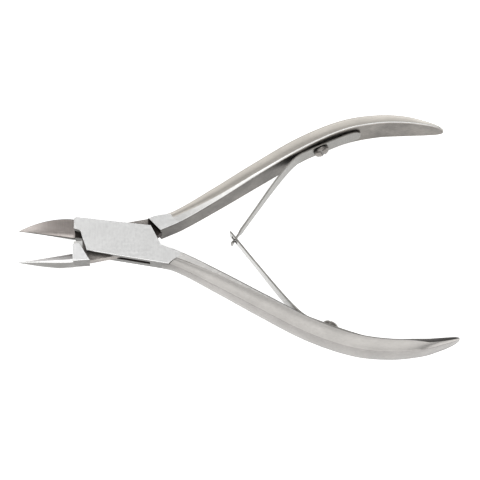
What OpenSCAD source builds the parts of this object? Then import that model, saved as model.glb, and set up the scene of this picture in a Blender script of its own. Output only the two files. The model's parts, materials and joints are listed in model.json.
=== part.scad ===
// Box-joint nail nipper with a double leaf spring.
// X runs from the jaws (-X) to the handles (+X), halfway between the handles at rest.
// Z is the pivot's axis. The origin is on that axis, at the flat back face of the joint.
// The jaws stand open at rest, as the springs hold them.

/* [Joint] */
// Thickness of the joint between its ground faces
joint_t = 7.1; // [6.9:0.1:7.4]
// Radius of the riveted pivot pin
pin_r = 2.2; // [1.8:0.1:2.4]
// Running clearance between the pin and the tongue's bore
pin_clear = 0.05; // [0.02:0.01:0.1]
// Thickness of the slot that the tongue turns in
slot_t = 2.5; // [2.2:0.1:2.8]
// Gap between the tongue's faces and the slot's
tongue_gap = 0.1; // [0.05:0.01:0.15]
// How far the slot lies in front of the middle of the joint
slot_shift = 0.5; // [0:0.1:0.7]
// How far the sides of the joint draw in, from the front face to the back face
side_draft = 0.85; // [0:0.05:1]
// Angle that the jaws stand open
jaw_open = 18.35; // [18.2:0.05:19]

/* [Jaws] */
// Distance from the pivot to the root of the blades
blade_root = 14.2; // [13.9:0.1:14.5]
// Distance from the pivot to the tips
blade_tip = 30.4; // [26:0.2:34]
// Width of a blade at its root, from the cutting edge outwards
blade_w = 3.8; // [3.5:0.05:3.9]
// Depth of the cutting edge below the middle of the joint
edge_drop = 2; // [1.6:0.1:2.4]
// Height of a blade's outer ridge above its cutting edge, at the root
blade_rise = 5.1; // [4.7:0.1:5.2]

/* [Handles] */
// Distance from the pivot to the ends of the handles
handle_reach = 97; // [94:0.5:101]
// Half the gap between the handles where they are widest
handle_spread = 34.2; // [32.5:0.1:35.5]
// Squareness of the rounded back of a handle: 2 is an ellipse
handle_round = 2.4; // [2:0.1:3]

/* [Springs] */
// Thickness of the spring strip
spring_t = 0.6; // [0.5:0.05:0.8]
// Width of the clamped end of a spring
spring_w = 6; // [5.6:0.1:6.4]
// Distance from the pivot, along X, to the point where the two springs cross
spring_cross = 33.5; // [32:0.5:35]
// Distance from the pivot, along X, to the bend where a leaf leaves its handle
bend_x = 50.5; // [49.5:0.5:52]
// Distance from the pivot, along X, to the clamped end of a spring
tail_x = 72; // [68:0.5:75]

/* [Screws] */
// Distance from the pivot, along X, to the spring screws
screw_x = 59.6; // [58:0.2:61]
// Radius of a screw's head
head_r = 2.35; // [2:0.05:2.4]
// Height of a screw's head
head_h = 2; // [1.6:0.1:2.2]
// Radius of a screw's shank
shank_r = 1; // [0.8:0.1:1.2]
// Length of the shank in the handle
shank_l = 2.6; // [2:0.1:3]

/* [Hidden] */

half_t = joint_t / 2;
slot_bottom = slot_shift - slot_t / 2;
// The cutting edges lie along lines from the pivot, at these angles to the -X direction
upper_edge = 10.3;
lower_edge = jaw_open - upper_edge;

// Handle stations: the distance from the pivot along X and the height of the inner face,
// as shares of the reach and the spread; the width of the inner face, the depth of the
// handle behind it and the width of the flat strip beside it, in millimetres
handle_stations = [
    [0.110, 0.060, 7.0, 5.6, 2.6],
    [0.177, 0.133, 7.0, 4.8, 2.2],
    [0.302, 0.334, 7.8, 5.1, 1.3],
    [0.435, 0.570, 9.3, 5.1, 0.7],
    [0.569, 0.794, 9.8, 5.1, 0.35],
    [0.694, 0.945, 10.4, 4.7, 0.3],
    [0.796, 0.998, 10.1, 4.2, 0.25],
    [0.878, 1.000, 9.4, 3.5, 0.2],
    [0.948, 0.985, 7.2, 2.1, 0.15],
    [0.986, 0.971, 4.6, 1.2, 0.1],
    [1.000, 0.965, 2.0, 0.6, 0.05]
];
last_station = len(handle_stations) - 1;

// Value of column k at the share u of the reach: a smooth curve through the stations
function station_slope(i, k) =
    let (a = handle_stations[max(i - 1, 0)], b = handle_stations[min(i + 1, last_station)])
    (b[k] - a[k]) / (b[0] - a[0]);
function station_before(u) =
    max([for (i = [0:last_station - 1]) if (handle_stations[i][0] <= u) i]);
function along_handle(u, k) =
    let (
        i = station_before(u),
        a = handle_stations[i],
        b = handle_stations[i + 1],
        run = b[0] - a[0],
        s = (u - a[0]) / run,
        rise = b[k] - a[k],
        in_slope = station_slope(i, k) * run,
        out_slope = station_slope(i + 1, k) * run
    )
    a[k] + s * in_slope + s * s * (3 * rise - 2 * in_slope - out_slope)
        + s * s * s * (in_slope + out_slope - 2 * rise);

// Inner face of the upper handle at x: its height, its slope angle, and a point behind it
function inner_y(x) = handle_spread * along_handle(x / handle_reach, 1);
function inner_angle(x) = atan((inner_y(x + 0.05) - inner_y(x - 0.05)) / 0.1);
function behind(x, depth) =
    [x - depth * sin(inner_angle(x)), inner_y(x) + depth * cos(inner_angle(x))];

// Half of a handle's section, from the edge of the inner face round to the back:
// [depth, height] pairs
function half_section(width, depth, strip) = [
    [0, width / 2],
    for (a = [0:15:75]) [
        strip + (depth - strip) * pow(sin(a), 2 / handle_round),
        width / 2 * pow(cos(a), 2 / handle_round)
    ]
];
function handle_ring(u) =
    let (
        x = u * handle_reach,
        half = half_section(along_handle(u, 2), along_handle(u, 3), along_handle(u, 4)),
        n = len(half),
        slope = u > 0.999 ? inner_angle(x - 0.1) : inner_angle(x),
        y = inner_y(x)
    )
    [for (p = concat(half, [[along_handle(u, 3), 0]], [for (i = [n - 1:-1:0]) [half[i][0], -half[i][1]]]))
        [x - p[0] * sin(slope), y + p[0] * cos(slope), -p[1]]];
handle_steps = concat([for (u = [0.14:0.03:0.92]) u], [0.945, 0.965, 0.98, 0.99, 0.997, 1]);

// Closed skin through rings of equal length, as triangles, with flat ends
module loft(rings) {
    n = len(rings[0]);
    m = len(rings);
    sides = [for (i = [0:m - 2], j = [0:n - 1])
        let (a = i * n + j, b = i * n + (j + 1) % n)
        each [[a, b + n, b], [a, a + n, b + n]]];
    first = [for (j = [0:n - 1]) j];
    last = [for (j = [n - 1:-1:0]) (m - 1) * n + j];
    polyhedron([for (ring = rings) each ring], concat([first], sides, [last]));
}

// One handle beyond the joint, on the +Y side
module handle_bar() {
    difference() {
        loft([for (u = handle_steps) handle_ring(u)]);
        screw_frame() translate([0, 0, -1]) cylinder(r = shank_r, h = shank_l + 1.3, $fn = 48);
    }
}

// Puts a thing that stands on the upper handle's inner face, its +Z into the handle
module screw_frame() {
    translate([screw_x, inner_y(screw_x), 0])
        rotate([-90, 0, inner_angle(screw_x)])
            children();
}

// Section of a blade at the share t from root to tip, as [outwards, height] pairs:
// cutting edge, hollow front face, ridge, outer bevel, outer side and flat back
function blade_section(t) =
    let (
        w = blade_w * (1 - pow(t, 1.5)) + 0.12,
        rise = blade_rise * (1 - pow(t, 2.2)) + 0.1,
        back = -(half_t - edge_drop - 0.05) * (1 - 0.8 * t),
        bevel = 0.35 * (1 - 0.8 * t)
    )
    [
        [0, 0],
        [0.2 * w, 0.12 * rise],
        [0.45 * w, 0.34 * rise],
        [0.72 * w, 0.64 * rise],
        [w, rise],
        [w + bevel, rise - bevel],
        [w - 0.25 * bevel, back],
        [min(0.35, 0.3 * w), back]
    ];
// The end that lies inside the joint, at t < 0, is drawn in from the line of the edge
function blade_ring(t, edge) =
    let (x = blade_root + t * (blade_tip - blade_root), inset = t < 0 ? 0.5 : 0)
    [for (p = blade_section(max(t, 0))) [-x, x * tan(edge) + max(p[0], inset), p[1] - edge_drop]];
blade_steps = [-0.11, 0, 0.15, 0.3, 0.45, 0.6, 0.72, 0.82, 0.9, 0.96, 1];

// One blade on the +Y side, its cutting edge at the given angle to -X
module blade(edge) {
    loft([for (t = blade_steps) blade_ring(t, edge)]);
}

// Draws a side face in towards the back, below a narrow upright land.
// The side runs from a to b, with the body on its left
side_land = 0.4;
module side_taper(a, b) {
    run = b - a;
    translate([a[0], a[1], half_t - side_land])
        rotate([atan2(side_draft, joint_t - side_land), 0, atan2(run[1], run[0])])
            translate([-1, -5, -joint_t - 1])
                cube([norm(run) + 2, 5, joint_t + 2]);
}

// Outline of the joint's flat faces, with the notch beside the jaws
joint_left = -13.7;
box_outline = [
    [joint_left, 6.85], [joint_left, 3.68], [-12.05, 3.15], [-11.75, 2.83], [-9.9, -3.34],
    [13.9, -8.33], [14.5, -7.8], [15.3, -7.2], [16.4, -6.55], [17.8, -5.84], [18.2, -5.1],
    [14.8, -3.55], [11.8, -2.22], [10.3, 1], [8.9, 3.99], [-13.1, 7.4]
];
// The slot's outline: it opens under the jaws on one side and beside the shoulder on the other
slot_outline = [
    [-13.75, 5.2], [-13.5, 5.3], [-8.4, 6.2], [-8.2, 9], [10, 9], [14, 2],
    [12.6, -2.1], [11.2, -2.1], [8.4, -6.6], [8.3, -10], [-13.75, -10]
];

module box_half() {
    color("gainsboro")
        translate([0, 0, half_t])
            difference() {
                union() {
                    box_plate();
                    lip();
                    blade(upper_edge);
                    mirror([0, 1, 0]) handle_bar();
                }
                translate([0, 0, slot_bottom])
                    linear_extrude(slot_t)
                        polygon(slot_outline);
                translate([0, 0, -half_t - 1])
                    cylinder(r = pin_r, h = joint_t + 2, $fn = 64);
            }
}

module box_plate() {
    difference() {
        translate([0, 0, -half_t])
            linear_extrude(joint_t)
                polygon(box_outline);
        side_taper([-9.9, -3.34], [13.9, -8.33]);
        side_taper([8.9, 3.99], [-13.1, 7.4]);
    }
}

// Part of the back cheek that shows below the notch, ending on the line of the cutting edge
module lip() {
    low = tan(upper_edge + 0.2);
    translate([0, 0, -half_t])
        linear_extrude(half_t + slot_bottom)
            polygon([[joint_left, 4.2], [joint_left, -joint_left * low], [-11.6, 11.6 * low], [-11.2, 4.2]]);
}

// The tongue passes through the slot, from the lower jaw to the upper handle
tongue_outline = [
    [-13.85, 0.35], [-11.9, 0.35], [-6.5, 3], [-0.5, 5.4], [8.19, 6.8],
    [12, 6], [12, 2.4], [8, -0.6], [3.5, -3.6], [-2.9, -4.9], [-8.9, -5.9], [-13.6, -6]
];
jaw_block_outline = [
    [-14.15, -1.14], [-12.15, -1.12], [-11.55, -2.28], [-9, -6.34], [-13.9, -6.55]
];
shoulder_outline = [
    [8.19, 6.28], [11.7, 2.29], [14.8, 3.55], [18.2, 5.1], [16.6, 5.1], [15.5, 6.1],
    [14.7, 7.5], [12, 7.3], [9.8, 6.9]
];

module inner_half() {
    color("silver")
        translate([0, 0, half_t])
            difference() {
                union() {
                    translate([0, 0, slot_bottom + tongue_gap])
                        linear_extrude(slot_t - 2 * tongue_gap)
                            polygon(tongue_outline);
                    jaw_block();
                    translate([0, 0, -half_t])
                        linear_extrude(joint_t)
                            polygon(shoulder_outline);
                    mirror([0, 1, 0]) blade(lower_edge);
                    handle_bar();
                }
                translate([0, 0, -half_t - 1])
                    cylinder(r = pin_r + pin_clear, h = joint_t + 2, $fn = 64);
            }
}

// Block behind the lower blade; behind the tongue it is cut back to the line of the edge
module jaw_block() {
    low = tan(lower_edge + 0.2);
    difference() {
        translate([0, 0, -half_t])
            linear_extrude(joint_t)
                polygon(jaw_block_outline);
        side_taper([-13.9, -6.55], [-9, -6.34]);
        translate([0, 0, -half_t - 1])
            linear_extrude(half_t + 1 + slot_bottom + tongue_gap)
                polygon([[-16, -16 * low], [-16, 3], [-8, 3], [-8, -8 * low]]);
    }
}

module pivot_pin() {
    recess = 0.05;
    color("lightgray")
        translate([0, 0, recess])
            cylinder(r = pin_r, h = joint_t - 2 * recess, $fn = 64);
}

// The spring strip lies this far off the handle's inner face
spring_gap = 0.05;
// A leaf is a little thinner than the clamped strip, so its round end turns clear of the handle
leaf_t = spring_t - 0.1;
bend_depth = -spring_gap - spring_t / 2;
bend_point = behind(bend_x, bend_depth);
leaf_run = [bend_point[0] - spring_cross, bend_point[1]];
leaf_l = norm(leaf_run);
leaf_angle = atan2(leaf_run[1], leaf_run[0]);

// Clamped end of the upper spring: it follows the inner face from the bend to the tail
module spring_root() {
    steps = 9;
    xs = [for (i = [0:steps]) bend_x + (tail_x - bend_x) * i / steps];
    top = [for (x = xs) behind(x, -spring_gap)];
    bottom = [for (i = [steps:-1:0]) behind(xs[i], -spring_gap - spring_t)];
    difference() {
        linear_extrude(spring_w, center = true)
            polygon(concat(top, bottom));
        translate([bend_point[0], bend_point[1], -spring_w / 2 - 1])
            cylinder(r = spring_t / 2 + 0.05, h = spring_w + 2, $fn = 32);
        screw_frame()
            translate([0, 0, -3])
                cylinder(r = shank_r + 0.05, h = 4, $fn = 48);
    }
}

// Widths of a leaf: at the bend, before the crossing, at the neck, the slot and the head
leaf_root_w = spring_w - 0.4;
leaf_end_w = 3.6;
neck_w = 1.4;
slot_w = 2;
head_w = 2.4;
slot_half_l = 1.2;
// The springs slide a little through each other, so the slot is centred short of the crossing
slot_at = leaf_l - 0.1;
leaf_past = 2.4;
head_past = 1.9;

// A leaf laid along +X from the bend, its width along Z; children are cut out of it
module leaf(outline) {
    translate([bend_point[0], bend_point[1], 0])
        rotate([0, 0, leaf_angle + 180])
            difference() {
                union() {
                    rotate([90, 0, 0])
                        linear_extrude(leaf_t, center = true)
                            polygon(outline);
                    translate([0, 0, -leaf_root_w / 2])
                        cylinder(r = leaf_t / 2, h = leaf_root_w, $fn = 32);
                }
                children();
            }
}

function both_sides(half) =
    concat(half, [for (i = [len(half) - 1:-1:0]) [half[i][0], -half[i][1]]]);

// The upper leaf ends in a narrow neck with a wider head
module tongue_leaf() {
    neck_start = leaf_l - 1.6;
    head_start = leaf_l + 1.1;
    leaf(both_sides([
        [0, leaf_root_w / 2], [neck_start - 1.6, leaf_end_w / 2], [neck_start, neck_w / 2],
        [head_start, neck_w / 2], [head_start, head_w / 2], [leaf_l + head_past - 0.3, head_w / 2],
        [leaf_l + head_past, head_w / 2 - 0.3]
    ]));
}

// The lower leaf ends in a slot that the neck passes through
module slotted_leaf() {
    leaf(both_sides([
        [0, leaf_root_w / 2], [leaf_l - 3.5, leaf_end_w / 2], [leaf_l + leaf_past, leaf_end_w / 2 - 0.1]
    ]))
        translate([slot_at - slot_half_l, -spring_t, -slot_w / 2])
            cube([2 * slot_half_l, 2 * spring_t, slot_w]);
}

// Slotted screw, head down on the spring, shank up into the handle
module spring_screw() {
    seat = spring_gap + spring_t + 0.05;
    slot_cut = 0.7;
    screw_frame()
        difference() {
            union() {
                translate([0, 0, -seat])
                    cylinder(r = shank_r - 0.03, h = seat + shank_l, $fn = 48);
                translate([0, 0, -seat - head_h * 0.55])
                    cylinder(r = head_r, h = head_h * 0.55, $fn = 64);
                translate([0, 0, -seat - head_h])
                    cylinder(r1 = head_r * 0.7, r2 = head_r, h = head_h * 0.45, $fn = 64);
            }
            rotate([0, 0, 35])
                translate([-head_r - 1, -slot_cut / 2, -seat - head_h - 1])
                    cube([2 * head_r + 2, slot_cut, 1.8]);
        }
}

module lower_spring_root() {
    color("gainsboro") translate([0, 0, half_t]) mirror([0, 1, 0]) spring_root();
}

module lower_spring_leaf() {
    color("gainsboro") translate([0, 0, half_t]) mirror([0, 1, 0]) slotted_leaf();
}

module lower_spring_screw() {
    color("darkgray") translate([0, 0, half_t]) mirror([0, 1, 0]) spring_screw();
}

module upper_spring_root() {
    color("gainsboro") translate([0, 0, half_t]) spring_root();
}

module upper_spring_leaf() {
    color("gainsboro") translate([0, 0, half_t]) tongue_leaf();
}

module upper_spring_screw() {
    color("darkgray") translate([0, 0, half_t]) spring_screw();
}

box_half();
inner_half();
pivot_pin();
lower_spring_root();
lower_spring_leaf();
lower_spring_screw();
upper_spring_root();
upper_spring_leaf();
upper_spring_screw();
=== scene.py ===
import json
import math

import bmesh
import bpy
from mathutils import Matrix, Vector

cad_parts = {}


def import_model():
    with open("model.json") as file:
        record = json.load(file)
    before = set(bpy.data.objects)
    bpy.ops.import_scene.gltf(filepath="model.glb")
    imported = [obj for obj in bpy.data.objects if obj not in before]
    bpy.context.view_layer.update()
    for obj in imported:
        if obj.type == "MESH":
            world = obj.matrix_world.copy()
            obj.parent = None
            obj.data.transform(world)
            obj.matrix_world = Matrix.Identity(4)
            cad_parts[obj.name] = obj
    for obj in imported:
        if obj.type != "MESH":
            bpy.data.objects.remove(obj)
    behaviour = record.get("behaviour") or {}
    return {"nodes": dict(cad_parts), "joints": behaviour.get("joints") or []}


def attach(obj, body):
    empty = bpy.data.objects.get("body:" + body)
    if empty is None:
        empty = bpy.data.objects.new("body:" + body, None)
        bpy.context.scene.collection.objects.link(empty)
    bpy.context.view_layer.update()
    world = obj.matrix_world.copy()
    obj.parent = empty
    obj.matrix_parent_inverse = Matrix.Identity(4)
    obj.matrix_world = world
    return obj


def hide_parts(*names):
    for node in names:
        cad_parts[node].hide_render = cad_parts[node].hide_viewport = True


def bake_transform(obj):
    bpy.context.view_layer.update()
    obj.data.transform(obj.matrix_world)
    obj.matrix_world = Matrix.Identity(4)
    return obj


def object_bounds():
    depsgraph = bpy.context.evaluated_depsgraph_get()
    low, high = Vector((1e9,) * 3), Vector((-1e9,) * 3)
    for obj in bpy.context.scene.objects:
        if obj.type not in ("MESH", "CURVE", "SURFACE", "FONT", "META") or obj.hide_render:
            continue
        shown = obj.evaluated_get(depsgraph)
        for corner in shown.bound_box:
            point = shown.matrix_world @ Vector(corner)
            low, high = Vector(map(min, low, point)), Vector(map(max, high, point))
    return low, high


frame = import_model()
cad_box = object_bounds()

# Lengths below are millimetres in the CAD frame: X from the jaws to the handles, Z along
# the pivot's axis. Handles, springs and screws mirror each other in the plane y = 0.
MM = 0.001
JOINTS = {joint["name"]: joint for joint in frame["joints"]}
MID_Z = JOINTS["squeeze"]["pos_m"][2] / MM
# The joint's back face is at Z = 0, so its middle is half its thickness up
HALF_T = MID_Z
bend_x, bend_y, _ = JOINTS["upper_leaf_flex"]["pos_m"]
# Where the upper leaf leaves its handle, in the plane
BEND = Vector((bend_x / MM, bend_y / MM, 0))

# ---------------------------------------------------------------- materials


def add_node(tree, kind, **settings):
    node = tree.nodes.new(kind)
    for key, value in settings.items():
        setattr(node, key, value)
    return node


def noise(tree, scale, stretch=(1, 1, 1), detail=3.0):
    """Noise over the object's own coordinates; scale is in cycles per metre."""
    coords = add_node(tree, "ShaderNodeTexCoord")
    mapping = add_node(tree, "ShaderNodeMapping")
    mapping.inputs["Scale"].default_value = stretch
    texture = add_node(tree, "ShaderNodeTexNoise")
    texture.inputs["Scale"].default_value = scale
    texture.inputs["Detail"].default_value = detail
    tree.links.new(coords.outputs["Object"], mapping.inputs["Vector"])
    tree.links.new(mapping.outputs["Vector"], texture.inputs["Vector"])
    return texture.outputs["Fac"]


def map_range(tree, value, low, high, to_low, to_high):
    node = add_node(tree, "ShaderNodeMapRange")
    tree.links.new(value, node.inputs["Value"])
    for name, number in (("From Min", low), ("From Max", high), ("To Min", to_low), ("To Max", to_high)):
        node.inputs[name].default_value = number
    return node.outputs["Result"]


def scaled(tree, color, tone):
    """A constant colour times a tone."""
    node = add_node(tree, "ShaderNodeVectorMath", operation="SCALE")
    node.inputs[0].default_value = color
    tree.links.new(tone, node.inputs["Scale"])
    return node.outputs["Vector"]


def multiply(tree, first, second):
    node = add_node(tree, "ShaderNodeMath", operation="MULTIPLY")
    tree.links.new(first, node.inputs[0])
    tree.links.new(second, node.inputs[1])
    return node.outputs[0]


def mix(tree, factor, first, second):
    """Colour mix; first and second are colours or sockets."""
    node = add_node(tree, "ShaderNodeMix", data_type="RGBA")
    tree.links.new(factor, node.inputs[0])
    for socket, value in ((node.inputs[6], first), (node.inputs[7], second)):
        if isinstance(value, tuple):
            socket.default_value = (*value, 1)
        else:
            tree.links.new(value, socket)
    return node.outputs[2]


def steel(
    name, color, rough, *, grain=(1, 1, 1), grain_size=0.2, bump=0.12, mottle=0.1, crevice_shade=0.5,
    crevice_reach=1.6, wear=0.25, along=()
):
    """Steel with a fine grain, slow shifts in tone, crevices darkened as painted shade and brighter worn
    edges. grain_size is the width of a grinding line and crevice_reach how far the painted shade in
    crevices spreads, both in millimetres. along lists changes of tone, each between two distances
    along X, as (from, to, first tone, last tone)."""
    material = bpy.data.materials.new(name)
    material.use_nodes = True
    tree = material.node_tree
    shader = tree.nodes["Principled BSDF"]
    shader.inputs["Metallic"].default_value = 1.0
    lines = noise(tree, 1 / (grain_size * MM), grain, 4.0)
    clouds = noise(tree, 160, detail=4.0)
    specks = noise(tree, 1400, detail=2.0)
    tone = map_range(tree, lines, 0.3, 0.7, 1 - mottle * 0.6, 1 + mottle * 0.6)
    tone = multiply(tree, tone, map_range(tree, clouds, 0.3, 0.7, 1 - mottle, 1 + mottle * 0.6))
    # Painted shade: ambient occlusion darkens the colour in crevices and between parts
    occlusion = add_node(tree, "ShaderNodeAmbientOcclusion", samples=6)
    occlusion.inputs["Distance"].default_value = crevice_reach * MM
    tone = multiply(tree, tone, map_range(tree, occlusion.outputs["AO"], 0.2, 0.9, 1 - crevice_shade, 1))
    if along:
        coords = add_node(tree, "ShaderNodeTexCoord")
        split = add_node(tree, "ShaderNodeSeparateXYZ")
        tree.links.new(coords.outputs["Object"], split.inputs[0])
        for start, end, first, last in along:
            shift = map_range(tree, split.outputs["X"], start * MM, end * MM, first, last)
            tone = multiply(tree, tone, shift)
    edge = add_node(tree, "ShaderNodeNewGeometry")
    worn = map_range(tree, edge.outputs["Pointiness"], 0.53, 0.62, 0, wear)
    light = tuple(min(1, c * 1.25) for c in color)
    tree.links.new(mix(tree, worn, scaled(tree, color, tone), light), shader.inputs["Base Color"])
    rough_value = map_range(tree, specks, 0.3, 0.7, rough - 0.05, rough + 0.05)
    tree.links.new(rough_value, shader.inputs["Roughness"])
    relief = add_node(tree, "ShaderNodeBump")
    relief.inputs["Strength"].default_value = bump
    relief.inputs["Distance"].default_value = 0.03 * MM
    tree.links.new(lines, relief.inputs["Height"])
    tree.links.new(relief.outputs["Normal"], shader.inputs["Normal"])
    return material


# Slots of the halves, in this order: the joint's ground faces, the ground strip beside the
# inner face, the handle's face, its outer flank, its inner face, the two parts of the
# rounding between inner face and strip, the jaw block's ground face, the hollow front of a
# blade, bright edges, sides, the tongue, the inside of the slot, the crease between face
# and flank, and the flank's underside
# The slots' steels are copies of one steel whose tones differ as painted light and shade
SLOTS = range(15)
GROUND, STRIP, FACE, FLANK, INNER, RIM, LIP, BLOCK, HOLLOW, EDGE, SIDE, TONGUE, GAP, CREASE, UNDER = SLOTS

# Stretch of the grain: along the handles, and upright
LENGTHWISE, UPRIGHT = (0.2, 1, 1), (1, 1, 0.05)
# Grain and bump are the steel's own; the darkening of crevices set in the ground, strip and rounding
# finishes is painted shade
GROUND_FINISH_AND_SHADE = {"grain": (1, 0.03, 1), "grain_size": 0.16, "bump": 0.25, "mottle": 0.05, "crevice_shade": 0.3}
STRIP_FINISH_AND_SHADE = {"grain": LENGTHWISE, "grain_size": 0.16, "mottle": 0.05, "crevice_shade": 0.3}
HANDLE_FINISH = {"grain": LENGTHWISE, "grain_size": 0.22, "bump": 0.2}
ROUNDING_FINISH_AND_SHADE = {"grain": LENGTHWISE, "bump": 0.1, "crevice_shade": 0.3, "wear": 0.0}
HOLLOW_FINISH = {"grain": (1, 0.08, 0.08), "bump": 0.25, "wear": 0.2}

SHARED = {
    GROUND: steel(
        "ground_steel", (0.59, 0.59, 0.585), 0.34, **GROUND_FINISH_AND_SHADE, along=[(-12, 14, 1.03, 0.93)]
    ),
    BLOCK: steel("block_steel", (0.65, 0.65, 0.65), 0.34, **GROUND_FINISH_AND_SHADE),
    # Inner faces: a dark copy of the steel, painted shade, darker still near the joint and lighter towards
    # the handles' ends
    INNER: steel(
        "inner_shade_steel", (0.165, 0.154, 0.14), 0.34, grain=LENGTHWISE, bump=0.4, mottle=0.34,
        crevice_shade=0.15, along=[(11, 26, 0.52, 1.0), (40, 72, 0.95, 1.25)]
    ),
    # Bright edges: a light copy of the steel, a painted highlight on broken edges and on the lower blade's
    # edge and ridge
    EDGE: steel(
        "edge_highlight_steel", (0.84, 0.84, 0.83), 0.25, grain=LENGTHWISE, bump=0.1, mottle=0.04, crevice_shade=0.2
    ),
    # Sides: a dark copy of the steel, painted shade on upright sides, the lip under the slot and the upper
    # blade
    SIDE: steel("side_shade_steel", (0.15, 0.146, 0.138), 0.4, grain=(0.3, 1, 0.3), bump=0.3, mottle=0.15),
    # Tongue: a darker copy of the steel with strong darkening of crevices, painted shade under the box; its
    # mottling is the steel's own
    TONGUE: steel(
        "tongue_steel", (0.36, 0.335, 0.315), 0.5, grain_size=0.4, bump=0.6, mottle=0.5, crevice_shade=0.9
    ),
    # Gap: a near-black copy of the steel, painted shadow inside the slot, the bore and the open joint
    GAP: steel(
        "gap_shadow_steel", (0.07, 0.06, 0.055), 0.6, grain_size=0.5, bump=0.4, mottle=0.35, crevice_shade=0.8,
        wear=0.0
    ),
}
# The box half is the lower handle with the upper blade; tones differ from the inner half's as painted light
# and shade
BOX_STEELS = {
    STRIP: steel(
        "lower_strip_steel", (0.50, 0.49, 0.475), 0.32, **STRIP_FINISH_AND_SHADE, along=[(18, 60, 1.0, 0.8)]
    ),
    # Lower handle face: darker near the joint, painted shade in the recess there
    FACE: steel(
        "lower_handle_steel", (0.50, 0.482, 0.46), 0.36, **HANDLE_FINISH, mottle=0.08, crevice_shade=0.35,
        along=[(14, 26, 0.82, 1.0), (26, 62, 1.08, 0.95)]
    ),
    # Lower flank: a darker copy of the steel, painted shade, with occlusion shade reaching 6 mm out and
    # darker still near the joint
    FLANK: steel(
        "lower_flank_shade_steel", (0.40, 0.385, 0.37), 0.36, **HANDLE_FINISH, crevice_shade=0.7,
        crevice_reach=6, along=[(11, 24, 0.55, 1.0), (24, 62, 1.0, 0.86)]
    ),
    # Flank's underside: a darker copy of the steel, painted shade
    UNDER: steel("lower_under_shade_steel", (0.29, 0.283, 0.272), 0.4, **HANDLE_FINISH, mottle=0.08),
    # Crease between face and flank: a darker copy of the steel, painted shade in the crease
    CREASE: steel(
        "lower_crease_shade_steel", (0.36, 0.34, 0.33), 0.4, **HANDLE_FINISH, mottle=0.08, crevice_shade=0.3
    ),
    # Rounding beside the inner face: a near-black copy of the steel, painted shade
    RIM: steel("lower_rim_shade_steel", (0.08, 0.074, 0.068), 0.4, **ROUNDING_FINISH_AND_SHADE),
    # Lower lip: a dark copy of the steel, painted shade, darker still towards the tip
    LIP: steel(
        "lower_lip_shade_steel", (0.22, 0.21, 0.2), 0.4, **ROUNDING_FINISH_AND_SHADE, along=[(78, 97, 1, 0.35)]
    ),
    # Hollow front of the upper blade: a light copy of the steel, painted light, dimmer towards the tip
    HOLLOW: steel(
        "upper_hollow_lit_steel", (0.74, 0.68, 0.645), 0.36, **HOLLOW_FINISH, crevice_shade=0.2,
        along=[(-14, -30, 1.0, 0.66)]
    ),
}
# The inner half is the upper handle with the lower blade; tones differ from the box half's as painted light
# and shade
INNER_STEELS = {
    # Upper ground strip: a light copy of the steel, a painted highlight, dimmer near the joint
    STRIP: steel(
        "upper_strip_highlight_steel", (0.72, 0.715, 0.70), 0.32, **STRIP_FINISH_AND_SHADE, along=[(18, 42, 0.66, 1.4)]
    ),
    # Flank's underside: a darker copy of the steel, painted shade
    UNDER: steel("upper_under_shade_steel", (0.24, 0.235, 0.225), 0.4, **HANDLE_FINISH, mottle=0.08),
    # Crease between face and flank: a darker copy of the steel, painted shade in the crease
    CREASE: steel(
        "upper_crease_shade_steel", (0.48, 0.455, 0.42), 0.4, **HANDLE_FINISH, mottle=0.08, crevice_shade=0.3
    ),
    FACE: steel(
        "upper_handle_steel", (0.54, 0.51, 0.465), 0.34, **HANDLE_FINISH, mottle=0.08, crevice_shade=0.35
    ),
    # Upper flank: a lighter copy of the steel than the lower flank, painted light
    FLANK: steel(
        "upper_flank_lit_steel", (0.62, 0.60, 0.565), 0.36, **HANDLE_FINISH, mottle=0.08, crevice_shade=0.35,
        crevice_reach=4
    ),
    # Upper rounding: a dark copy of the steel, painted shade, darker near the joint and lighter past x = 40
    RIM: steel(
        "upper_rim_shade_steel", (0.13, 0.12, 0.11), 0.4, **ROUNDING_FINISH_AND_SHADE, along=[(24, 40, 0.6, 3.5)]
    ),
    # Upper lip: a near-white copy of the steel, a painted highlight
    LIP: steel("upper_lip_highlight_steel", (0.80, 0.80, 0.78), 0.3, **ROUNDING_FINISH_AND_SHADE, mottle=0.05),
    # Hollow front of the lower blade: a dark copy of the steel, painted shade, lighter towards the tip
    HOLLOW: steel(
        "lower_hollow_shade_steel", (0.31, 0.295, 0.29), 0.36, **HOLLOW_FINISH, crevice_shade=0.3,
        along=[(-14, -30, 0.9, 1.5)]
    ),
}
BOX_MATERIALS = [{**SHARED, **BOX_STEELS}[slot] for slot in SLOTS]
INNER_MATERIALS = [{**SHARED, **INNER_STEELS}[slot] for slot in SLOTS]

# ---------------------------------------------------------------- meshes


def make_object(name, points, faces, slots=None, materials=()):
    """A mesh object from points in millimetres, in the CAD frame."""
    mesh = bpy.data.meshes.new(name)
    mesh.from_pydata([tuple(MM * c for c in p) for p in points], [], faces)
    for material in materials:
        mesh.materials.append(material)
    if slots:
        mesh.polygons.foreach_set("material_index", slots)
    mesh.validate()
    piece = bpy.data.objects.new(name, mesh)
    bpy.context.scene.collection.objects.link(piece)
    return piece


def applied(piece):
    """Bakes the modifiers of a piece into its mesh."""
    bpy.context.view_layer.update()
    graph = bpy.context.evaluated_depsgraph_get()
    mesh = bpy.data.meshes.new_from_object(piece.evaluated_get(graph), depsgraph=graph)
    old = piece.data
    piece.modifiers.clear()
    piece.data = mesh
    bpy.data.meshes.remove(old)
    return piece


def combine(target, tool, operation):
    """Exact union or difference; the tool is used up."""
    modifier = target.modifiers.new("cut", "BOOLEAN")
    modifier.operation = operation
    modifier.solver = "EXACT"
    modifier.object = tool
    applied(target)
    bpy.data.objects.remove(tool)
    return target


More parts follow.
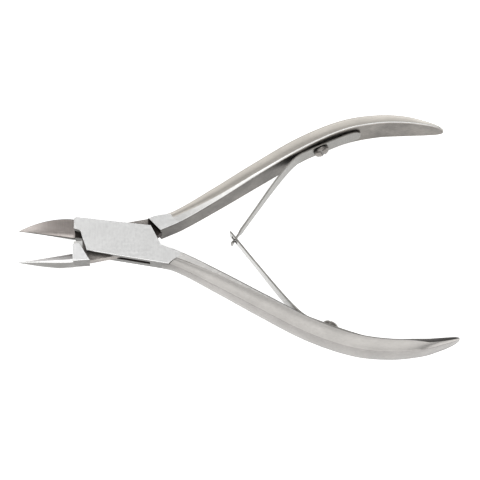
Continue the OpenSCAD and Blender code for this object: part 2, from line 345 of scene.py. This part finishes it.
def smooth(piece, angle=24.0):
    """Smooth shading with sharp edges above the angle, flat faces kept flat."""
    mesh = piece.data
    for polygon in mesh.polygons:
        polygon.use_smooth = True
    mesh.set_sharp_from_angle(angle=math.radians(angle))
    weights = piece.modifiers.new("flat_faces", "WEIGHTED_NORMAL")
    weights.keep_sharp = True
    return piece


def mirrored(points, side):
    return [(x, side * y, z) for x, y, z in points]


def loft(name, rings, ring_slots, side, cap_slot):
    """Closed skin through rings of equal length, on the +Y side or, for side -1, mirrored."""
    count, last = len(rings[0]), len(rings) - 1
    points = mirrored([p for ring in rings for p in ring], side)
    faces = []
    slots = []
    for i in range(last):
        for j in range(count):
            a, b = i * count + j, i * count + (j + 1) % count
            faces.append((a, b, b + count, a + count))
            slots.append(ring_slots[j])
    faces.append(tuple(reversed(range(count))))
    faces.append(tuple(range(last * count, (last + 1) * count)))
    slots += [cap_slot, cap_slot]
    piece = make_object(name, points, faces, slots, BOX_MATERIALS)
    outward(piece)
    return piece


def outward(piece):
    """Turns every face of a closed mesh outwards."""
    work = bmesh.new()
    work.from_mesh(piece.data)
    bmesh.ops.recalc_face_normals(work, faces=work.faces)
    work.to_mesh(piece.data)
    work.free()


def prism(name, outline, low, high, side_slot, face_slot, bevel=0.0, keep_sharp=None):
    """Upright plate between two heights above the joint's mid-plane, its edges broken."""
    count = len(outline)
    points = [(x, y, MID_Z + low) for x, y in outline] + [(x, y, MID_Z + high) for x, y in outline]
    faces = [tuple(range(count)), tuple(range(count, 2 * count))]
    faces += [(i, (i + 1) % count, count + (i + 1) % count, count + i) for i in range(count)]
    slots = [face_slot, face_slot] + [side_slot] * count
    piece = make_object(name, points, faces, slots, BOX_MATERIALS)
    outward(piece)
    if bevel:
        work = bmesh.new()
        work.from_mesh(piece.data)
        chosen = []
        for edge in work.edges:
            middle = (edge.verts[0].co + edge.verts[1].co) / (2 * MM)
            upright = abs(edge.verts[0].co.z - edge.verts[1].co.z) > 0.1 * MM
            if not upright and not (keep_sharp and keep_sharp(middle)):
                chosen.append(edge)
        # The bevels take the bright edge steel, a painted highlight along the broken edges
        bmesh.ops.bevel(
            work, geom=chosen, offset=bevel * MM, segments=2, affect="EDGES", profile=0.5, material=EDGE
        )
        work.to_mesh(piece.data)
        work.free()
    return piece


# ---------------------------------------------------------------- handles

REACH, SPREAD = 97.0, 34.2
# Distance along X and height of the inner face, as shares of the reach and the spread; width
# of the inner face, depth of the handle behind it and width of the ground strip beside it
STATIONS = [
    (0.110, 0.060, 7.08, 5.6, 2.6),
    (0.177, 0.133, 7.08, 4.8, 2.2),
    (0.302, 0.334, 7.8, 5.1, 1.3),
    (0.435, 0.570, 9.3, 5.1, 0.8),
    (0.569, 0.794, 9.8, 5.1, 0.45),
    (0.694, 0.945, 10.4, 4.7, 0.38),
    (0.796, 0.998, 10.1, 4.2, 0.33),
    (0.878, 1.000, 9.4, 3.5, 0.28),
    (0.948, 0.985, 7.2, 2.1, 0.22),
    (0.986, 0.971, 4.6, 1.2, 0.18),
    (1.000, 0.965, 2.0, 0.6, 0.12),
]


def station_slope(i, k):
    before, after = STATIONS[max(i - 1, 0)], STATIONS[min(i + 1, len(STATIONS) - 1)]
    return (after[k] - before[k]) / (after[0] - before[0])


def along_handle(u, k):
    """Column k of the stations at the share u of the reach, on a smooth curve through them."""
    i = max(n for n in range(len(STATIONS) - 1) if STATIONS[n][0] <= u or n == 0)
    start, end = STATIONS[i], STATIONS[i + 1]
    run = end[0] - start[0]
    s, rise = (u - start[0]) / run, end[k] - start[k]
    enter, leave = station_slope(i, k) * run, station_slope(i + 1, k) * run
    return start[k] + s * enter + s * s * (3 * rise - 2 * enter - leave) + s**3 * (enter + leave - 2 * rise)


def inner_y(x):
    return SPREAD * along_handle(x / REACH, 1)


def inner_angle(x):
    return math.atan((inner_y(x + 0.05) - inner_y(x - 0.05)) / 0.1)


def behind(x, depth):
    angle = inner_angle(x)
    return Vector((x - depth * math.sin(angle), inner_y(x) + depth * math.cos(angle), 0))


def ease(value, low, high):
    share = min(1, max(0, (value - low) / (high - low)))
    return share * share * (3 - 2 * share)


# Power of the curve that rounds the flank, and how far back the crease runs, as a share of
# the depth behind the ground strip
ROUNDNESS = 2.4
CREASE_SHARE = 0.80
# Stretches of a section's lower half that are the flank's underside, counted down from the
# middle of its height; they take the darker underside steel, painted shade
UNDERSIDE = range(2, 8)


def handle_half(u, side):
    """Half of the handle's section at u as (depth, height, slot of the stretch that follows).
    Only the lower handle (side -1) is ground round beside the inner face near its end."""
    width, depth, strip = (along_handle(u, k) for k in (2, 3, 4))
    half = width / 2
    end_round = ease(u, 0.82, 0.97) if side < 0 else 0
    fillet = min(0.22 + 0.12 * ease(u, 0.2, 0.3) + 0.9 * end_round, 0.3 * depth)
    fillet_run = fillet * (1 + end_round)
    strip = max(strip, fillet_run + 0.02)
    points = [(0, 0, INNER), (0, half - fillet, RIM)]
    for turn, slot in ((22, RIM), (45, LIP), (68, LIP), (90, LIP)):
        angle = math.radians(turn)
        points.append((fillet_run * (1 - math.cos(angle)), half - fillet * (1 - math.sin(angle)), slot))
    points[-1] = (*points[-1][:2], STRIP)
    recess = 0.28 * (1 - ease(u, 0.17, 0.32)) + 0.006 * half
    points.append((strip, half, FACE))
    crease_height = half * (1 - CREASE_SHARE**ROUNDNESS) ** (1 / ROUNDNESS) * 0.985
    lead = 0.1 * min(1, depth)
    steps = 9
    for step in range(steps + 1):
        share = step / steps
        d = strip + lead + (CREASE_SHARE * (depth - strip) - lead) * share
        z = (half - recess) * (1 - share) + crease_height * share + 0.2 * depth * share * (1 - share)
        points.append((d, z, FACE))
    points[-1] = (*points[-1][:2], CREASE)
    step_down = 0.05 * min(1, depth) * (1 - 0.8 * ease(u, 0.85, 0.95))
    points.append((points[-1][0] + 0.03 * depth, points[-1][1] - step_down, FLANK))
    start = math.asin((CREASE_SHARE + 0.045) ** (ROUNDNESS / 2))
    for step in range(10):
        angle = start + (math.pi / 2 - start) * step / 9
        across = math.sin(angle) ** (2 / ROUNDNESS)
        up = max(0, math.cos(angle)) ** (2 / ROUNDNESS)
        points.append((strip + (depth - strip) * across, half * up, FLANK))
    return points


def handle_ring(u, side):
    half = handle_half(u, side)
    section = half + [(d, -z, None) for d, z, _ in reversed(half[1:-1])]
    ring = []
    for d, z, _ in section:
        point = behind(min(u * REACH, REACH - 0.1), d)
        ring.append((point.x + max(0, u * REACH - REACH + 0.1), point.y, MID_Z + z))
    return ring


def handle_slots():
    half = [slot for _, _, slot in handle_half(0.5, 1)][:-1]
    back = half[::-1]
    for i in UNDERSIDE:
        back[i] = UNDER
    return half + back


def handle_bar(name, side):
    """One handle; its rings lie closer together where the end is rounded off."""
    stations = [0.14 + 0.006 * i for i in range(134)]
    stations += [0.948, 0.955, 0.961, 0.967, 0.973, 0.979, 0.984, 0.988, 0.992, 0.995, 0.9975, 1.0]
    return loft(name, [handle_ring(u, side) for u in stations], handle_slots(), side, FACE)


# ---------------------------------------------------------------- blades

BLADE_ROOT, BLADE_TIP = 14.2, 30.4
BLADE_W, BLADE_RISE, EDGE_DROP = 3.8, 5.1, 2.0
# A blade starts this far inside the joint, as a share of its length
BLADE_INSIDE = 0.11
# The cutting edges lie along lines from the pivot, at these angles to the -X direction
UPPER_EDGE = math.radians(10.3)
LOWER_EDGE = math.radians(8.05)
# Outer side of a blade below its bevel: the share of the way down of its first point at the
# root, then (share of the way down, bulge outwards); the bulge fades at the root and the tip
SIDE_TOP = 0.24
SIDE_BULGE = [(0.4, 0.15), (0.55, 0.40), (0.7, 0.58), (0.85, 0.5)]


def blade_section(t, cut_slot, ridge_slot, facet_slot):
    """Section at the share t from root to tip, as (outwards, height, slot of what follows)."""
    width = BLADE_W * (1 - t**1.5) + 0.12
    rise = BLADE_RISE * (1 - t**2.2) + 0.1
    back = -(HALF_T - EDGE_DROP - 0.05) * (1 - 0.8 * t)
    bevel = 0.35 * (1 - 0.85 * t)
    land = 0.28 * (1 - 0.6 * t)
    points = [(0, 0, cut_slot), (min(land, 0.25 * width), 0.05 * rise, HOLLOW)]
    steps = 9
    for step in range(1, steps + 1):
        share = step / steps
        s = 0.08 + 0.92 * share
        points.append((max(s * width, points[1][0] + 0.02), rise * (0.05 + 0.95 * share**1.3), HOLLOW))
    points[-1] = (*points[-1][:2], ridge_slot)
    points.append((width + bevel * 0.6, rise - bevel * 0.35, ridge_slot))
    points.append((width + bevel, rise - bevel, ridge_slot))
    side_h = rise - bevel - back
    bulge = (1 - t) * ease(t, 0.0, 0.25)
    for share, out in [(SIDE_TOP * (1 - 0.6 * t), 0.0), *SIDE_BULGE]:
        outwards = width + bevel * (1 - share) + out * bulge
        points.append((outwards, rise - bevel - side_h * share, facet_slot))
    points.append((width - 0.35 * bevel, back, SIDE))
    points.append((min(0.35, 0.3 * width), back, SIDE))
    return points


def blade(name, edge, side, *outer_slots):
    rings = []
    for step in range(41):
        t = -BLADE_INSIDE + (1 + BLADE_INSIDE) * step / 40
        section = blade_section(max(t, 0), *outer_slots)
        x = BLADE_ROOT + t * (BLADE_TIP - BLADE_ROOT)
        inset = 0.5 if t < 0 else 0
        base = x * math.tan(edge)
        rings.append([(-x, base + max(out, inset), MID_Z + up - EDGE_DROP) for out, up, _ in section])
    slots = [slot for _, _, slot in blade_section(0.5, *outer_slots)]
    return loft(name, rings, slots, side, SIDE)


# ---------------------------------------------------------------- the two halves

JOINT_LEFT = -13.7
SLOT_LOW, SLOT_HIGH, TONGUE_GAP = -0.75, 1.75, 0.1
BOX_OUTLINE = [
    (JOINT_LEFT, 6.85), (JOINT_LEFT, 3.68), (-12.05, 3.15), (-11.75, 2.83), (-9.9, -3.34),
    (13.9, -8.33), (14.5, -7.8), (15.3, -7.2), (16.4, -6.55), (17.8, -5.84), (18.2, -5.1),
    (14.8, -3.55), (11.8, -2.22), (10.3, 1), (8.9, 3.99), (-13.1, 7.4),
]
SLOT_OUTLINE = [
    (-13.75, 5.2), (-13.5, 5.3), (-8.4, 6.2), (-8.2, 9), (10, 9), (14, 2),
    (12.6, -2.1), (11.2, -2.1), (8.4, -6.6), (8.3, -10), (-13.75, -10),
]
TONGUE_OUTLINE = [
    (-13.85, 0.35), (-11.9, 0.35), (-6.5, 3), (-0.5, 5.4), (8.19, 6.8), (12, 6), (12, 2.4),
    (8, -0.6), (3.5, -3.6), (-2.9, -4.9), (-8.9, -5.9), (-13.6, -6),
]
# End of the tongue in front of the jaw block, out from under the box: a thin plate in the strip's bright
# steel, painted light
FLANK_OUTLINE = [(-13.84, 0.34), (-11.9, 0.34), (-11.3, 0.6), (-11.3, -3), (-13.84, -3)]
# Floor of the open joint between the box and the shoulder, always in shadow: a plate in the near-black gap
# steel, painted shadow
JOINT_FLOOR_OUTLINE = [(8.0, 6.7), (8.19, 6.79), (12.02, 5.99), (12.02, 2.37), (8, -0.65)]
JAW_BLOCK_OUTLINE = [(-14.15, -1.14), (-12.0, -1.12), (-11.35, -2.28), (-9, -6.34), (-13.9, -6.55)]
SHOULDER_OUTLINE = [
    (8.19, 6.28), (11.7, 2.29), (14.8, 3.55), (18.2, 5.1), (16.6, 5.1), (15.5, 6.1),
    (14.7, 7.5), (12, 7.3), (9.8, 6.9),
]
SIDE_DRAFT, SIDE_LAND = 0.85, 0.4
BROKEN_EDGE = 0.15
# The jaws are cut back by this angle from the lines of the cutting edges
EDGE_RELIEF = math.radians(0.2)
PIN_BORE_R = 2.25


def taper(piece, a, b):
    """Draws a side face in towards the back; the side runs from a to b, body on its left."""
    a, b = Vector((*a, 0)), Vector((*b, 0))
    run = (b - a).length
    tall = 2 * HALF_T
    points = [
        (x, y, z) for z in (-tall - 1, 1) for x, y in ((-1, -5), (run + 1, -5), (run + 1, 0), (-1, 0))
    ]
    turn = Matrix.Rotation(math.atan2((b - a).y, (b - a).x), 4, "Z")
    lean = Matrix.Rotation(math.atan2(SIDE_DRAFT, tall - SIDE_LAND), 4, "X")
    place = Matrix.Translation((a.x, a.y, MID_Z + HALF_T - SIDE_LAND)) @ turn @ lean
    points = [tuple(place @ Vector(p)) for p in points]
    faces = [(0, 1, 2, 3), (4, 5, 6, 7), (0, 1, 5, 4), (1, 2, 6, 5), (2, 3, 7, 6), (3, 0, 4, 7)]
    cutter = make_object("taper_cutter", points, faces, [SIDE] * 6, BOX_MATERIALS)
    outward(cutter)
    return combine(piece, cutter, "DIFFERENCE")


def on_strip(side):
    """True for the points of a joint outline where the handle's ground strip carries on."""
    return lambda p: p.x > 14.9 and side * p.y < 6.6


def repaint(piece, slot, chosen):
    """Gives a slot to the faces that chosen(centre, normal) picks, before a union."""
    for polygon in piece.data.polygons:
        if chosen(polygon.center / MM, polygon.normal):
            polygon.material_index = slot


def box_half():
    body = prism("box_half_body", BOX_OUTLINE, -HALF_T, HALF_T, SIDE, GROUND, BROKEN_EDGE, on_strip(-1))
    taper(body, (-9.9, -3.34), (13.9, -8.33))
    taper(body, (8.9, 3.99), (-13.1, 7.4))
    # The handle's inner face carried on into the box takes the dark inner steel, painted shade
    repaint(body, INNER, lambda c, n: c.x > 11 and n.y > 0.5 and abs(n.z) < 0.3)
    slope = math.tan(UPPER_EDGE + EDGE_RELIEF)
    # The lip under the slot lies in the box's shadow; it takes the dark side steel, painted shade
    lip = [(JOINT_LEFT, 4.2), (JOINT_LEFT, -JOINT_LEFT * slope), (-11.6, 11.6 * slope), (-11.2, 4.2)]
    combine(body, prism("lip", lip, -HALF_T, SLOT_LOW, SIDE, SIDE), "UNION")
    # Upper blade: dark steels on its edge, ridge and outer facets, painted shade
    combine(body, blade("upper_blade", UPPER_EDGE, 1, SIDE, RIM, SIDE), "UNION")
    combine(body, handle_bar("lower_handle", -1), "UNION")
    # Inside of the slot: the near-black gap steel, painted shadow
    combine(body, prism("slot", SLOT_OUTLINE, SLOT_LOW, SLOT_HIGH, GAP, GAP), "DIFFERENCE")
    return body


def bore(radius):
    count = 64
    outline = [
        (radius * math.cos(2 * math.pi * i / count), radius * math.sin(2 * math.pi * i / count))
        for i in range(count)
    ]
    # The bore's wall takes the near-black gap steel, painted shadow
    return prism("bore", outline, -HALF_T, HALF_T, GAP, GAP)


def inner_half():
    body = prism(
        "inner_half_body", SHOULDER_OUTLINE, -HALF_T, HALF_T, SIDE, GROUND, BROKEN_EDGE, on_strip(1)
    )
    # Faces of the shoulder facing -Y carry on the upper handle's inner face in its dark steel, painted
    # shade; faces facing -X look into the open joint and take the near-black gap steel, painted shadow
    repaint(body, INNER, lambda c, n: n.y < -0.5 and abs(n.z) < 0.3)
    repaint(body, GAP, lambda c, n: n.x < -0.5 and abs(n.z) < 0.3)
    low, high = SLOT_LOW + TONGUE_GAP, SLOT_HIGH - TONGUE_GAP
    skin = 0.01
    combine(body, prism("tongue", TONGUE_OUTLINE, low, high, TONGUE, TONGUE), "UNION")
    combine(body, prism("flank", FLANK_OUTLINE, 0, high + skin, STRIP, STRIP), "UNION")
    joint_floor = prism("joint_floor", JOINT_FLOOR_OUTLINE, low - skin, high + skin, GAP, GAP)
    combine(body, joint_floor, "UNION")
    block = prism("jaw_block", JAW_BLOCK_OUTLINE, -HALF_T, HALF_T, SIDE, BLOCK, BROKEN_EDGE)
    taper(block, (-13.9, -6.55), (-9, -6.34))
    slope = math.tan(LOWER_EDGE + EDGE_RELIEF)
    relief = [(-16, -16 * slope), (-8, -8 * slope), (-8, 3), (-16, 3)]
    cut = prism("relief", relief, -HALF_T - 1, low, SIDE, SIDE)
    combine(block, cut, "DIFFERENCE")
    combine(body, block, "UNION")
    # Lower blade: the bright edge steel on its edge and ridge, a painted highlight, and the underside steel
    # on its outer facets, painted shade
    combine(body, blade("lower_blade", LOWER_EDGE, -1, EDGE, EDGE, UNDER), "UNION")
    combine(body, handle_bar("upper_handle", 1), "UNION")
    combine(body, bore(PIN_BORE_R), "DIFFERENCE")
    for slot, material in enumerate(INNER_MATERIALS):
        body.data.materials[slot] = material
    return body


# ---------------------------------------------------------------- springs and screws

SPRING_GAP, SPRING_T, STRIP_T = 0.05, 0.6, 0.5
# The strip is straighter than the handle, so it stands off it around the screw
STAND_OFF = 0.4
TAIL_X, SCREW_X, CROSS_X = 72.0, 59.6, 33.5
# The strip's curve starts this far along X before the bend, and ends at this share of the
# leaf; the last number is the length of the tail's rounding
CLAMP_RUN, CURVED_SHARE, TAIL_ROUND = 3.2, 0.55, 2.8
# Half widths of the strip at the bend, of a leaf near the crossing, of neck and head
ROOT_HALF_W, END_HALF_W, NECK_HALF_W, HEAD_HALF_W = 2.8, 1.8, 0.7, 1.2
LEAF_L = math.hypot(BEND.x - CROSS_X, BEND.y)
LEAF_DIR = Vector((CROSS_X - BEND.x, -BEND.y, 0)).normalized()


def spring_path(past):
    """Centre line of the upper spring from its clamped tail to its end past the crossing."""
    clamp_x = BEND.x + CLAMP_RUN
    points = []
    steps = 24
    for i in range(steps):
        share = (i / steps) ** 1.5
        lift = STAND_OFF * math.sin(math.pi * share) ** 0.8
        points.append(behind(TAIL_X + (clamp_x - TAIL_X) * share, -SPRING_GAP - SPRING_T / 2 - lift))
    start = behind(clamp_x, -SPRING_GAP - SPRING_T / 2)
    angle = inner_angle(clamp_x)
    leave = Vector((-math.cos(angle), -math.sin(angle), 0))
    join = BEND + LEAF_DIR * LEAF_L * CURVED_SHARE
    reach = (join - start).length
    pull = reach * 0.33
    for i in range(36):
        s = i / 36
        points.append(
            start * (1 - s) ** 3
            + (start + leave * pull * 0.6) * 3 * s * (1 - s) ** 2
            + (join - LEAF_DIR * pull * 1.2) * 3 * s * s * (1 - s)
            + join * s**3
        )
    for i in range(31):
        points.append(join + LEAF_DIR * (LEAF_L * (1 - CURVED_SHARE) + past) * i / 30)
    return points


def spring_strip(name, side, past, half_width, face, slot=None):
    """Strip along the spring's path. half_width(s) is half the strip's width at the distance s
    before the crossing; slot is (from, to, half width) of the opening, in the same measure."""
    path = spring_path(past)
    gone = [0.0]
    for before, after in zip(path, path[1:]):
        gone.append(gone[-1] + (after - before).length)
    whole = gone[-1] - past
    rows = [(point, whole - distance) for point, distance in zip(path, gone)]
    points = []
    for (point, s), distance in zip(rows, gone):
        half = half_width(s) * math.sqrt(1 - max(0, 1 - (distance + 0.3) / TAIL_ROUND) ** 2)
        inner = slot[2] if slot else half * 0.55
        for z in (-half, -inner, inner, half):
            points.append((point.x, point.y * side, MID_Z + z))
    width = len(points) // len(rows)
    faces = []
    for i in range(len(rows) - 1):
        middle = (rows[i][1] + rows[i + 1][1]) / 2
        for j in range(width - 1):
            if slot and j == 1 and slot[0] < middle < slot[1]:
                continue
            a = i * width + j
            faces.append((a, a + 1, a + 1 + width, a + width))
    piece = make_object(name, points, faces, None, [face, SPRING_EDGE])
    thick = piece.modifiers.new("thickness", "SOLIDIFY")
    thick.thickness = STRIP_T * MM
    thick.offset = 0
    thick.material_offset_rim = 1
    soft = piece.modifiers.new("broken_edges", "BEVEL")
    soft.width = 0.06 * MM
    soft.segments = 2
    soft.limit_method = "ANGLE"
    soft.angle_limit = math.radians(50)
    applied(piece)
    return smooth(piece, 35)


def taper_width(s, end_width):
    """Half width of a leaf, from the full strip at the bend to end_width before the crossing."""
    share = ease(LEAF_L - 1 - s, 0, LEAF_L - 5)
    return ROOT_HALF_W + (end_width - ROOT_HALF_W) * share


def neck_width(s):
    """Half width of the upper leaf, which narrows to a neck with a wider head at its end."""
    neck_from, neck_full, head_at = 3.2, 1.6, -1.1
    if s > neck_from:
        return taper_width(s, END_HALF_W)
    if s > neck_full:
        return NECK_HALF_W + (END_HALF_W - NECK_HALF_W) * ease(s, neck_full, neck_from)
    return NECK_HALF_W if s > head_at else HEAD_HALF_W


def slotted_width(s):
    """Half width of the lower leaf, which stays wide around its slot."""
    return max(1.75, taper_width(s, END_HALF_W))


# Lower spring: a lighter copy of the spring steel than the upper, painted light, with a band of painted
# shade just past the bend
LOWER_SPRING = steel(
    "lower_spring_lit_steel", (0.54, 0.535, 0.52), 0.3, grain=UPRIGHT, mottle=0.06,
    along=[(50, 52, 1.0, 0.6), (55, 57, 1.0, 1.6)]
)
# Upper spring: a darker copy of the spring steel, painted shade, darker still towards the bend
UPPER_SPRING = steel(
    "upper_spring_shade_steel", (0.30, 0.293, 0.275), 0.3, grain=UPRIGHT, crevice_shade=0.4,
    along=[(36, 54, 1.0, 0.85)]
)
SPRING_EDGE = steel(
    "spring_edge", (0.30, 0.29, 0.27), 0.4, grain_size=0.1, bump=0.3, mottle=0.2, crevice_shade=0.2
)
SCREW_FACE = steel(
    "screw_steel", (0.24, 0.225, 0.21), 0.28, grain_size=0.1, bump=0.2, mottle=0.15, crevice_shade=0.6
)
PIN_FACE = steel(
    "pin_steel", (0.64, 0.63, 0.62), 0.35, grain=UPRIGHT, grain_size=0.1, bump=0.2, crevice_shade=0.4
)
# Radius and length of a screw's shank, radius and height of its head, height of the head's
# upright brim, half the width and the depth of its slot, and how far the slot is turned
SHANK_R, SHANK_L, HEAD_R, HEAD_H, BRIM = 0.97, 2.6, 2.35, 1.65, 0.45
SAW_HALF_W, SAW_DEPTH, SAW_TURN = 0.4, 0.8, math.radians(72)


def screw(name, side):
    """Pan-head screw, turned from its profile, with a slot sawn across the head."""
    seat = SPRING_GAP + SPRING_T + STAND_OFF
    profile = [(SHANK_R, SHANK_L), (SHANK_R, 0), (SHANK_R, -seat)]
    profile += [(HEAD_R - 0.1, -seat), (HEAD_R, -seat - 0.12), (HEAD_R, -seat - BRIM)]
    for turn in range(15, 91, 15):
        angle = math.radians(turn)
        crown = BRIM + (HEAD_H - BRIM) * math.sin(angle)
        profile.append((HEAD_R * math.cos(angle) ** 0.8, -seat - crown))
    profile[-1] = (0.05, -seat - HEAD_H)
    around = 48
    points = []
    for r, z in profile:
        for i in range(around):
            angle = 2 * math.pi * i / around
            points.append((r * math.cos(angle), r * math.sin(angle), z))
    faces = [tuple(range(around))]
    for ring in range(len(profile) - 1):
        for i in range(around):
            a, b = ring * around + i, ring * around + (i + 1) % around
            faces.append((a, b, b + around, a + around))
    faces.append(tuple(range((len(profile) - 1) * around, len(profile) * around)))
    angle = inner_angle(SCREW_X)
    place = Matrix.Translation((SCREW_X, inner_y(SCREW_X), 0))
    place = place @ Matrix.Rotation(angle, 4, "Z") @ Matrix.Rotation(-math.pi / 2, 4, "X")

    def put(local):
        placed = [place @ Vector(p) for p in local]
        return [(p.x, side * p.y, MID_Z + p.z) for p in placed]

    piece = make_object(name, put(points), faces, None, [SCREW_FACE])
    outward(piece)
    saw_turn = Matrix.Rotation(SAW_TURN, 3, "Z")
    w = SAW_HALF_W
    box = [
        saw_turn @ Vector((x, y, z))
        for z in (-seat - 3, -seat - HEAD_H + SAW_DEPTH)
        for x, y in ((-4, -w), (4, -w), (4, w), (-4, w))
    ]
    sides = [(0, 1, 2, 3), (4, 5, 6, 7), (0, 1, 5, 4), (1, 2, 6, 5), (2, 3, 7, 6), (3, 0, 4, 7)]
    saw = make_object("saw", put(box), sides, None, [SCREW_FACE])
    outward(saw)
    combine(piece, saw, "DIFFERENCE")
    return smooth(piece, 30)


# ---------------------------------------------------------------- the pieces; halves and screws on their bodies

box_piece = smooth(box_half())
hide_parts("box_half")
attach(box_piece, "lower_arm")

inner_piece = smooth(inner_half())
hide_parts("inner_half")
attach(inner_piece, "upper_arm")

pin = frame["nodes"]["pivot_pin"]
pin.data.materials.clear()
pin.data.materials.append(PIN_FACE)

for arm, side, past, widths, face, slot in (
    ("lower", -1, 2.4, slotted_width, LOWER_SPRING, (-1.1, 1.3, 1.0)),
    ("upper", 1, 1.9, neck_width, UPPER_SPRING, None),
):
    strip = spring_strip(f"{arm}_spring", side, past, widths, face, slot)
    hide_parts(f"{arm}_spring_root", f"{arm}_spring_leaf")
    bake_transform(strip)
    head = screw(f"{arm}_screw_head", side)
    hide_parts(f"{arm}_spring_screw")
    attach(head, f"{arm}_arm")

# ---------------------------------------------------------------- floor, light and camera


def floor():
    """Pale floor, a hair below the lowest point of the tool."""
    low = cad_box[0].z / MM - 0.02
    size = 3000
    corners = [(-size, -size, low), (size, -size, low), (size, size, low), (-size, size, low)]
    piece = make_object("floor", corners, [(0, 1, 2, 3)])
    material = bpy.data.materials.new("pale_floor")
    material.use_nodes = True
    shader = material.node_tree.nodes["Principled BSDF"]
    shader.inputs["Base Color"].default_value = (0.93, 0.93, 0.93, 1)
    shader.inputs["Roughness"].default_value = 0.9
    shader.inputs["Specular IOR Level"].default_value = 0.1
    shader.inputs["Emission Color"].default_value = (1, 1, 1, 1)
    shader.inputs["Emission Strength"].default_value = 0.7
    piece.data.materials.append(material)


def softbox(name, place, target, width, height, power):
    light = bpy.data.lights.new(name, "AREA")
    light.shape = "RECTANGLE"
    light.size, light.size_y, light.energy = width, height, power
    lamp = bpy.data.objects.new(name, light)
    bpy.context.scene.collection.objects.link(lamp)
    lamp.location = place
    lamp.rotation_mode = "QUATERNION"
    lamp.rotation_quaternion = (Vector(target) - Vector(place)).to_track_quat("-Z", "Y")


def world(zenith, horizon):
    """Soft studio surround, brighter overhead than at the horizon."""
    surround = bpy.data.worlds.new("studio")
    surround.use_nodes = True
    tree = surround.node_tree
    coords = add_node(tree, "ShaderNodeTexCoord")
    split = add_node(tree, "ShaderNodeSeparateXYZ")
    tree.links.new(coords.outputs["Generated"], split.inputs[0])
    height = map_range(tree, split.outputs["Z"], 0.1, 0.95, 0, 1)
    color = mix(tree, height, horizon, zenith)
    tree.links.new(color, tree.nodes["Background"].inputs["Color"])
    bpy.context.scene.world = surround


CAMERA_ELEVATION = math.radians(67)
CAMERA_ROLL = math.radians(-1.76)
CAMERA_DISTANCE = 560
CAMERA_TARGET = Vector((34.92, -0.18, MID_Z))


def camera():
    back = Vector((0, -math.cos(CAMERA_ELEVATION), math.sin(CAMERA_ELEVATION)))
    right = Vector((1, 0, 0))
    up = back.cross(right)
    turned_right = math.cos(CAMERA_ROLL) * right + math.sin(CAMERA_ROLL) * up
    turned_up = -math.sin(CAMERA_ROLL) * right + math.cos(CAMERA_ROLL) * up
    data = bpy.data.cameras.new("camera")
    data.sensor_width = 36
    data.lens = 142.8
    data.clip_start, data.clip_end = 0.01, 20
    view = bpy.data.objects.new("camera", data)
    bpy.context.scene.collection.objects.link(view)
    axes = Matrix((turned_right, turned_up, back)).transposed().to_4x4()
    view.matrix_world = Matrix.Translation((CAMERA_TARGET + back * CAMERA_DISTANCE) * MM) @ axes
    bpy.context.scene.camera = view


floor()
world((0.62, 0.62, 0.62), (0.40, 0.40, 0.40))
KEY_ANGLE = math.radians(23)
softbox("key", (0.035, 1.2 * math.sin(KEY_ANGLE), 1.2 * math.cos(KEY_ANGLE)), (0.035, 0, 0), 0.6, 0.42, 0.9)
softbox("front_fill", (0.035, -0.60, 0.90), (0.035, 0, 0), 2.0, 1.1, 5.4)
softbox("left_fill", (-1.1, 0.25, 0.55), (-0.02, 0, 0), 0.9, 0.5, 1.2)
softbox("back_wall", (0.035, 1.1, 0.30), (0.035, 0, 0.2), 1.6, 0.55, 2.0)
camera()
bpy.context.scene.view_settings.view_transform = "Standard"
